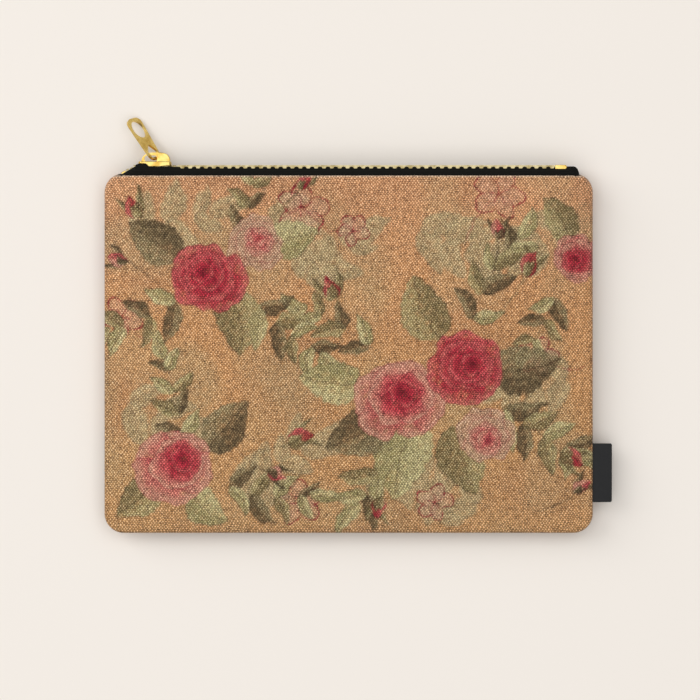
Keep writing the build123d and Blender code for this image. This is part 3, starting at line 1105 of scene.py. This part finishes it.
@dataclass
class ClothPanels:
    """The front and back cloth panels with their print."""

    body: ClothBody = field(default_factory=ClothBody)
    art: Print = Print()
    finish: PrintedCloth = PrintedCloth()
    # painted shade near the seams: its strength and reach
    seam_shade: float = 0.20
    seam_reach: float = 2.4
    # painted highlight along the mouth edge: its colour, strength, start and width
    fold_highlight_colour: Colour = linear(232, 204, 176)
    fold_highlight_share: float = 0.85
    fold_start: float = 1.3
    fold_depth: float = 0.7

    def build(self) -> list[Any]:
        """Make both panels.

        Returns:
            The two cloth objects.
        """
        material = self.finish.material("printed cloth")
        made = []
        for side, full, seed in ((Side.FRONT, self.body.front_rise, 5), (Side.BACK, self.body.back_rise, 9)):
            word = side.name.lower()
            points, faces = self.body.panel(side, full, seed)
            piece = smooth_object(f"{word}_cloth", points, faces)
            self._paint(piece, points[:, 0], points[:, 1], side)
            stand_in(piece, f"{word}_panel", material)
            made.append(piece)
        return made

    def _paint(self, piece: Any, x: np.ndarray, y: np.ndarray, side: Side) -> None:
        """Write the print into a colour attribute, with painted shade at the seams and painted highlight along the
        mouth edge.

        Args:
            piece: The cloth object.
            x: Its points' places across in millimetres.
            y: Its points' places along in millimetres.
            side: Front or back.
        """
        colours = self.art.colours(x * side.value, y)
        # painted shade: colours darkened towards the seams, where the cloth turns away
        away = unit(self.body.edge_depth(x, y) / self.seam_reach)
        colours *= (1 - self.seam_shade * (1 - away))[:, None]
        # painted highlight: a pale line along the folded mouth edge
        mouth = self.body.height / 2 - (self.body.mouth_drop if side is Side.FRONT else 0.0)
        mouth_highlight = self.fold_highlight_share * unit(self.fold_start - (mouth - y) / self.fold_depth)[:, None]
        colours = colours * (1 - mouth_highlight) + np.array(self.fold_highlight_colour) * mouth_highlight
        full = np.concatenate([colours, np.ones((len(x), 1))], axis=1).astype(np.float32)
        layer = piece.data.color_attributes.new(self.finish.attribute, "FLOAT_COLOR", "POINT")
        layer.data.foreach_set("color", full.ravel())


@dataclass
class SideLabel:
    """The bare folded label that stands out of the side seam."""

    length: float = 26.0
    stand_out: float = 8.5
    tuck: float = 1.6
    layer: float = 0.36
    middle: float = -52.9
    edge: float = 108.0
    rows: int = 53
    end_roll: float = 0.9
    end_share: float = 0.35
    corner_cut: float = 0.35
    wave: float = 0.16
    bellies: Place = (0.22, 0.12)
    # label cloth: its second colour is painted highlight on the raised threads
    finish: DarkCloth = DarkCloth(
        linear(34, 34, 35), linear(52, 52, 53), PlainWeave(0.36, 0.42, 0.04), 0.00006, 0.75, 0.08
    )

    def build(self) -> Any:
        """Make the label as one strip bent back on itself.

        Returns:
            The label object.
        """
        path, normals = self._fold()
        points = []
        for side in (1, -1):
            for place in np.linspace(-self.length / 2, self.length / 2, self.rows):
                ease = min(1.0, (self.length / 2 - abs(place)) / self.end_roll)
                thick = side * self.layer / 2 * (self.end_share + (1 - self.end_share) * quarter_round(ease))
                for (px, pz), (nx, nz) in zip(path, normals):
                    share = (px - self.edge) / self.stand_out
                    wave = self.wave * share * math.sin(place / 6.5 + 0.7)
                    short = self.corner_cut * (1 - ease) ** 2 * max(share, 0)
                    points.append((px - short + nx * thick, self.middle + place, SEAM + pz + nz * thick + wave))
        index = np.arange(len(points) // 2).reshape(self.rows, len(path))
        faces = grid_faces(index) + flipped(grid_faces(index + index.size))
        faces += walls(grid_ring(index)[::-1], index.size)
        label = smooth_object("folded_label", np.array(points), faces)
        stand_in(label, "side_label", self.finish.material("label cloth"))
        return label

    def _fold(self) -> tuple[list[Place], list[Place]]:
        """The middle line of the folded strip and its normals.

        Returns:
            Points and normals in the plane across the seam.
        """
        gap = self.layer * 0.72
        end = self.edge + self.stand_out - self.layer / 2 - gap
        shares = np.linspace(0, 1, 14)

        def layer(share: float, way: float, belly: float) -> Place:
            height = gap * (0.7 + 0.3 * share) + belly * math.sin(share * math.pi)
            return self.edge - self.tuck + share * (end - self.edge + self.tuck), way * height

        path = [layer(share, 1.0, self.bellies[0]) for share in shares]
        path += [polar(end, 0.0, gap, math.radians(angle)) for angle in np.linspace(75, -75, 7)]
        path += [layer(share, -1.0, self.bellies[1]) for share in shares[::-1]]
        normals = []
        for before, after in zip(path[:1] + path[:-1], path[1:] + path[-1:]):
            run = (after[0] - before[0], after[1] - before[1])
            normals.append((-run[1] / math.hypot(*run), run[0] / math.hypot(*run)))
        return path, normals


@dataclass
class PullTab:
    """The flat pull, with an eye round the bridge and a long oval hole near its rounded end."""

    length: float = 22.0
    wide: float = 8.0
    eye_wide: float = 6.3
    eye_depth: float = 6.4
    eye_wall: float = 0.62
    eye_corner: Triple = (0.6, 1.5, 0.6)
    eye_end: float = 1.0
    thick: float = 1.15
    end_bar: float = 1.2
    corner: float = 2.6
    corner_inset: float = 0.1
    hole: Place = (8.9, 6.4)
    hole_margin: float = 1.35
    bar: Triple = (-85.2, 86.15, 8.5)
    lean: float = 32.0
    droop: float = 12.5
    twist: float = 45.0

    @staticmethod
    def _hull(rounds: Sequence[Triple], step: float = 0.35) -> list[Place]:
        """Outline round a set of circles, with points at even steps.

        Args:
            rounds: Middle place along, middle place across and radius of each circle.
            step: Distance from point to point.

        Returns:
            The outline's points in order.
        """
        turns = np.linspace(0, FULL_TURN, 73)[:-1]
        cloud = sorted(polar(u, w, r, t) for u, w, r in rounds for t in turns)
        chains = []
        for order in (cloud, cloud[::-1]):
            chain: list[Place] = []
            for point in order:
                while len(chain) > 1:
                    (ax, ay), (bx, by) = chain[-2], chain[-1]
                    if (bx - ax) * (point[1] - ay) - (by - ay) * (point[0] - ax) > 1e-9:
                        break
                    chain.pop()
                chain.append(point)
            chains += chain[:-1]
        closed = np.array(chains + chains[:1])
        run = np.concatenate([[0], np.cumsum(np.hypot(*np.diff(closed, axis=0).T))])
        places = np.linspace(0, run[-1], int(run[-1] / step) + 1)[:-1]
        return list(zip(np.interp(places, run, closed[:, 0]), np.interp(places, run, closed[:, 1])))

    def _loops(self) -> list[list[Place]]:
        """The outline and the two holes, along and across the pull."""
        start, tip = self.end_bar / 2, self.length - self.end_bar / 2
        eye, far, corner = self.eye_wide / 2, self.wide / 2, self.corner
        side = far - corner - self.corner_inset
        ends = [(tip - far, 0, far), (tip - corner, side, corner), (tip - corner, -side, corner)]
        outline = self._hull([(eye - start, 0, eye), *ends])
        inner = eye - self.eye_wall
        in_by, out_by, small = self.eye_corner
        corners = [(start + in_by, out_by, small), (start + in_by, -out_by, small)]
        point = (start + self.eye_depth - self.eye_end, 0, self.eye_end)
        tear = self._hull([(start + inner, 0, inner), *corners, point])
        half_long, half_wide = self.hole[0] / 2, self.hole[1] / 2
        middle = tip - self.hole_margin - half_long
        turns = np.linspace(0, FULL_TURN, 57)[:-1]
        long_hole = [(middle + half_long * math.cos(t), half_wide * math.sin(t)) for t in turns]
        return [outline, tear, long_hole]

    def build(self, material: Any) -> Any:
        """Make the pull in its resting place.

        Args:
            material: Its finish.

        Returns:
            The pull object.
        """
        loops = self._loops()
        flat = [point for loop in loops for point in loop]
        fill = [tuple(f) for f in tessellate_polygon([[Vector((u, w, 0)) for u, w in loop] for loop in loops])]
        size = len(flat)
        turn = Matrix.Identity(3)
        for angle, axis in ((self.lean, "Z"), (-self.droop, "X"), (-self.twist, "Y")):
            turn = turn @ Matrix.Rotation(math.radians(angle), 3, axis)
        levels = (self.thick / 2, -self.thick / 2)
        points = [Vector(self.bar) + turn @ Vector((level, u, w)) for level in levels for u, w in flat]
        faces = fill + flipped([tuple(i + size for i in face) for face in fill])
        start = 0
        for loop in loops:
            faces += walls(range(start, start + len(loop)), size)
            start += len(loop)
        pull = solid_object("metal_pull", [(np.array(points), faces)])
        soften(pull, 0.22, 3)
        return stand_in(pull, "pull_tab", material, "pull")


@dataclass(frozen=True)
class Trim:
    """A small block over each tape: its outline from above, and how far from the seam plane it starts and ends."""

    outline: tuple[Place, ...]
    low: float
    high: float
    mirrored: bool = False

    def block(self, side: Side, shift: float = 0.0) -> Shape:
        """The closed block on one side of the seam plane.

        Args:
            side: The half of the pouch that it is on.
            shift: How far it is moved along the zip.

        Returns:
            Points in millimetres and faces.
        """
        outline = [(shift + x, y) for x, y in self.outline]
        if self.mirrored:
            outline += [(shift - x, y) for x, y in reversed(self.outline)]
        size = len(outline)
        heights = sorted((SEAM + side.value * self.low, SEAM + side.value * self.high))
        points = [(x, y, height) for height in heights for x, y in outline]
        faces = [tuple(range(size - 1, -1, -1)), tuple(range(size, 2 * size)), *walls(range(size), size)]
        return np.array(points), faces


HUMP = (
    (-94.3, 80.6), (-94.1, 82.6), (-93.6, 83.2), (-92.7, 83.6), (-91.5, 83.75), (-89.6, 83.7), (-88.8, 83.3),
    (-88.4, 82.7), (-87.9, 82.3), (-82.0, 82.15), (-76.6, 82.2), (-76.4, 81.4), (-77.0, 80.6),
)
FAR_END = (
    (95.6, 80.2), (95.6, 82.35), (99.2, 82.4), (100.1, 82.1), (100.8, 81.5), (101.2, 80.7), (101.5, 79.9),
    (101.7, 79.0), (99.0, 78.7),
)
PLATE = ((91.0, 81.15), (95.6, 81.15), (96.2, 81.75), (96.2, 82.4), (95.6, 83.0), (91.0, 83.0))
TAPE_ENDS = (Trim(HUMP, 5.55, 6.35), Trim(FAR_END, 2.0, 5.7))
STOP_PLATE = Trim(PLATE, 5.55, 6.4)
TOOTH_CLAMP = (
    Trim(((0.55, 81.48), (0.88, 81.78), (0.88, 82.8)), 5.6, 6.3, True),
    Trim(((1.45, 82.2), (1.6, 82.35), (1.6, 82.75), (1.45, 82.9)), 5.6, 6.22, True),
)


@dataclass
class ZipPieces:
    """The zip's tapes, teeth, stops and slider, with the small forms that show on them."""

    # tape cloth: its second colour is painted highlight on the raised threads
    tape: DarkCloth = DarkCloth(
        linear(6, 6, 4), linear(26, 24, 18), PlainWeave(0.55, 0.7, 0.05), 0.00012, 0.85, 0.06, True
    )
    # lining cloth: its second colour is painted highlight on the raised threads
    lining: DarkCloth = DarkCloth(
        linear(16, 16, 16), linear(30, 30, 30), PlainWeave(0.4, 0.4, 0.05), 0.00006, 0.85, 0.05
    )
    metal: BrightMetal = BrightMetal()
    teeth: BrightMetal = BrightMetal(linear(192, 178, 136), linear(150, 132, 84), 0.3)
    first_clamp: float = -76.0
    tooth_gap: float = 1.2

    def build(self) -> list[Any]:
        """Make the refined zip pieces and dress the plain ones.

        Returns:
            The objects that replace CAD pieces.
        """
        tape = self.tape.material("zip tape")
        lining = self.lining.material("lining cloth")
        metal = self.metal.material("zip metal")
        teeth = self.teeth.material("teeth metal")
        made = []
        for side in Side:
            word = side.name.lower()
            wear(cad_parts[f"{word}_lining"], lining)
            wear(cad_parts[f"{word}_top_stop"], metal)
            tape_node, teeth_node = f"{word}_zipper_tape", f"{word}_teeth"
            ends = [trim.block(side) for trim in TAPE_ENDS]
            made.append(stand_in(solid_object(f"{word}_tape", ends, tape_node), tape_node, tape))
            clamped = solid_object(f"{word}_clamped_teeth", self._clamps(side, teeth_node), teeth_node)
            made.append(stand_in(clamped, teeth_node, teeth))
        plates = [STOP_PLATE.block(side) for side in Side]
        stop = stand_in(solid_object("clamped_stop", plates, "bottom_stop"), "bottom_stop", metal)
        slider = solid_object("metal_slider", (), "slider_body")
        stand_in(slider, "slider_body", metal, "slider")
        soften(slider, 0.3, 3)
        soften(stop, 0.2)
        return [*made, stop, slider, PullTab().build(metal)]

    def _clamps(self, side: Side, node: str) -> list[Shape]:
        """The leg and head of each tooth, clamped over the tape's outer face.

        Args:
            side: Front or back row.
            node: The CAD piece that holds the row.

        Returns:
            Two closed blocks for each tooth past the slider.
        """
        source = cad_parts[node]
        places = sorted({round((source.matrix_world @ v.co).x / MM, 2) for v in source.data.vertices})
        groups = [[places[0]]]
        for place in places[1:]:
            if place - groups[-1][-1] > self.tooth_gap:
                groups.append([])
            groups[-1].append(place)
        middles = [(group[0] + group[-1]) / 2 for group in groups]
        return [trim.block(side, middle) for middle in middles if middle >= self.first_clamp for trim in TOOTH_CLAMP]


@dataclass(frozen=True)
class Lamp:
    """One soft square lamp aimed at the pouch, in metres and watts."""

    name: str
    place: Triple
    size: float
    power: float
    colour: Colour = (1.0, 1.0, 1.0)

    def hang(self) -> None:
        """Put the lamp into the scene."""
        data = bpy.data.lights.new(self.name, "AREA")
        data.size = self.size
        data.energy = self.power
        data.color = self.colour
        lamp = add_object(self.name, data)
        lamp.location = self.place
        lamp.rotation_euler = (-Vector(self.place)).to_track_quat("-Z", "Y").to_euler()


@dataclass
class Studio:
    """Floor, lamps, world and camera, in metres."""

    floor_colour: Colour = linear(243, 236, 228)
    floor_size: float = 6.0
    key: Lamp = Lamp("key_lamp", (-2.85, 1.6, 2.0), 2.6, 62.0, (1.0, 1.0, 0.995))
    top: Lamp = Lamp("top_lamp", (0.1, 0.0, 3.2), 4.6, 72.0)
    low_grey: float = 0.15
    high_grey: float = 0.78
    room_light: float = 0.55
    look_at: Place = (0.0006, 0.0014)
    span: float = 0.30975
    lens: float = 200.0
    sensor: float = 36.0

    def build(self) -> None:
        """Make the whole setting."""
        self._floor()
        self.key.hang()
        self.top.hang()
        self._room()
        self._camera()
        bpy.context.scene.view_settings.view_transform = "Standard"

    def _floor(self) -> None:
        """Make the pale floor."""
        bpy.ops.mesh.primitive_plane_add(size=self.floor_size, location=(0, 0, 0))
        floor = bpy.context.object
        floor.name = "floor"
        shader = Shader(bpy.data.materials.new("pale floor"))
        shader.dress(base_color=self.floor_colour, roughness=0.9, specular_ior_level=0.0)
        wear(floor, shader.owner)

    def _room(self) -> None:
        """Make the room's light, darker toward the floor."""
        world = bpy.data.worlds.new("room")
        shader = Shader(world, "Background")
        height = shader.split(shader.node("ShaderNodeTexCoord", {}, (), "Generated"))[2]
        stops = ((0.05, (self.low_grey,) * 3), (0.62, (self.high_grey,) * 3))
        grey = shader.node("ShaderNodeValToRGB", {"stops": stops}, (height,))
        shader.dress(color=grey, strength=self.room_light)
        bpy.context.scene.world = world

    def _camera(self) -> None:
        """Make the camera, straight above the pouch with a long lens."""
        data = bpy.data.cameras.new("camera")
        data.lens = self.lens
        data.sensor_width = self.sensor
        camera = add_object("camera", data)
        camera.location = (*self.look_at, SEAM * MM + self.span * self.lens / self.sensor)
        bpy.context.scene.camera = camera


def main() -> None:
    """Build every part of the scene and report it."""
    logging.basicConfig(level=logging.INFO, format="%(name)s: %(message)s")
    Studio().build()
    LOG.info("studio ready")
    for piece in (*ClothPanels().build(), SideLabel().build(), *ZipPieces().build()):
        LOG.info("%s: %d faces", piece.name, len(piece.data.polygons))
    bpy.context.view_layer.update()


if __name__ == "__main__":
    main()
